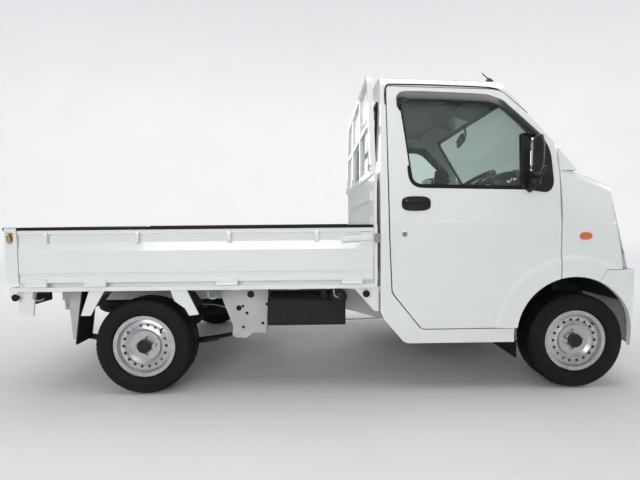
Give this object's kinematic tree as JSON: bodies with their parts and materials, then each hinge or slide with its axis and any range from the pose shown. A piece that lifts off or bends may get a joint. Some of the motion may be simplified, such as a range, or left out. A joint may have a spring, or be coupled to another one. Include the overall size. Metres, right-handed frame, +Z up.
{
  "type": "kei truck",
  "caption": "Small drop-side truck with a semi-cab-over cab, opening doors and hood, drop gates, guard frame, steered front wheels and turning wheels.",
  "frame": {"origin": "on the ground under the middle of the truck", "axes": "+X to the front, +Y to the left side, +Z up"},
  "size_m": [3.3948, 1.736, 1.7619],
  "materials": {
    "body_paint": "gloss",
    "lamp_glass": "gloss",
    "window_glass": "gloss",
    "black_plastic": "satin",
    "chassis_paint": "satin",
    "steel": "satin",
    "wheel_paint": "satin",
    "tyre": "matte",
    "rubber": "matte",
    "dash_plastic": "matte",
    "seat_vinyl": "matte",
    "lamp_red": "gloss",
    "engine_iron": "matte"
  },
  "bodies": {
    "root": {"bed_floor": "body_paint", "bed_front": "body_paint", "bumper": "body_paint", "cab_shell": "body_paint", "chassis_frame": "chassis_paint", "dashboard": "dash_plastic", "engine_block": "engine_iron", "exhaust": "steel", "front_panel": "body_paint", "fuel_tank": "chassis_paint", "guard_frame": "body_paint", "headlamp_left": "lamp_glass", "headlamp_right": "lamp_glass", "leaf_springs": "chassis_paint", "lower_arms": "chassis_paint", "mudflaps": "rubber", "mudguards": "black_plastic", "propeller_shaft": "chassis_paint", "rear_axle": "chassis_paint", "rear_glass": "window_glass", "seat_left": "seat_vinyl", "seat_right": "seat_vinyl", "spare_wheel": "tyre", "tail_lamps": "lamp_red", "windscreen": "window_glass"},
    "door_right": {"door_right": "body_paint", "door_glass_right": "window_glass", "door_mirror_right": "black_plastic"},
    "door_left": {"door_left": "body_paint", "door_glass_left": "window_glass", "door_mirror_left": "black_plastic"},
    "hood": {"hood": "body_paint"},
    "gate_right": {"side_gate_right": "body_paint"},
    "gate_left": {"side_gate_left": "body_paint"},
    "tail_gate": {"tail_gate": "body_paint"},
    "knuckle_right": {"knuckle_right": "chassis_paint"},
    "knuckle_left": {"knuckle_left": "chassis_paint"},
    "steering_wheel": {"steering_wheel": "black_plastic"},
    "wheel_front_right": {"wheel_front_right": "wheel_paint", "tyre_front_right": "tyre"},
    "wheel_front_left": {"wheel_front_left": "wheel_paint", "tyre_front_left": "tyre"},
    "wheel_rear_right": {"wheel_rear_right": "wheel_paint", "tyre_rear_right": "tyre"},
    "wheel_rear_left": {"wheel_rear_left": "wheel_paint", "tyre_rear_left": "tyre"}
  },
  "joints": [
    {"name": "door_right_hinge", "type": "hinge", "parent": "root", "child": "door_right", "pos_m": [1.2005, -0.727, 0.7], "axis": [0, 0, 1], "range_deg": [0, 65]},
    {"name": "door_left_hinge", "type": "hinge", "parent": "root", "child": "door_left", "pos_m": [1.2005, 0.727, 0.7], "axis": [0, 0, -1], "range_deg": [0, 65]},
    {"name": "hood_hinge", "type": "hinge", "parent": "root", "child": "hood", "pos_m": [1.408, 0, 1.163], "axis": [0, -1, 0], "range_deg": [0, 50]},
    {"name": "gate_right_hinge", "type": "hinge", "parent": "root", "child": "gate_right", "pos_m": [0, -0.731, 0.601], "axis": [1, 0, 0], "range_deg": [0, 178]},
    {"name": "gate_left_hinge", "type": "hinge", "parent": "root", "child": "gate_left", "pos_m": [0, 0.731, 0.601], "axis": [-1, 0, 0], "range_deg": [0, 178]},
    {"name": "tail_gate_hinge", "type": "hinge", "parent": "root", "child": "tail_gate", "pos_m": [-1.691, 0, 0.601], "axis": [0, -1, 0], "range_deg": [0, 178]},
    {"name": "steer_right", "type": "hinge", "parent": "root", "child": "knuckle_right", "pos_m": [1.3525, -0.574, 0.262], "axis": [0, 0.1961, 0.9806], "range_deg": [-33, 33]},
    {"name": "steer_left", "type": "hinge", "parent": "root", "child": "knuckle_left", "pos_m": [1.3525, 0.574, 0.262], "axis": [0, -0.1961, 0.9806], "range_deg": [-33, 33]},
    {"name": "steering_wheel_turn", "type": "hinge", "parent": "root", "child": "steering_wheel", "pos_m": [0.88, -0.38, 1.12], "axis": [-0.5736, 0, 0.8192], "range_deg": [-530, 530]},
    {"name": "spin_front_right", "type": "hinge", "parent": "knuckle_right", "child": "wheel_front_right", "pos_m": [1.3525, -0.6425, 0.262], "axis": [0, 1, 0], "continuous": true},
    {"name": "spin_front_left", "type": "hinge", "parent": "knuckle_left", "child": "wheel_front_left", "pos_m": [1.3525, 0.6425, 0.262], "axis": [0, 1, 0], "continuous": true},
    {"name": "spin_rear_right", "type": "hinge", "parent": "root", "child": "wheel_rear_right", "pos_m": [-0.9975, -0.6425, 0.262], "axis": [0, 1, 0], "continuous": true},
    {"name": "spin_rear_left", "type": "hinge", "parent": "root", "child": "wheel_rear_left", "pos_m": [-0.9975, 0.6425, 0.262], "axis": [0, 1, 0], "continuous": true}
  ],
  "couplings": [
    {"joint": "steer_left", "follows": "steer_right", "ratio": 1},
    {"joint": "steering_wheel_turn", "follows": "steer_right", "ratio": 16}
  ]
}
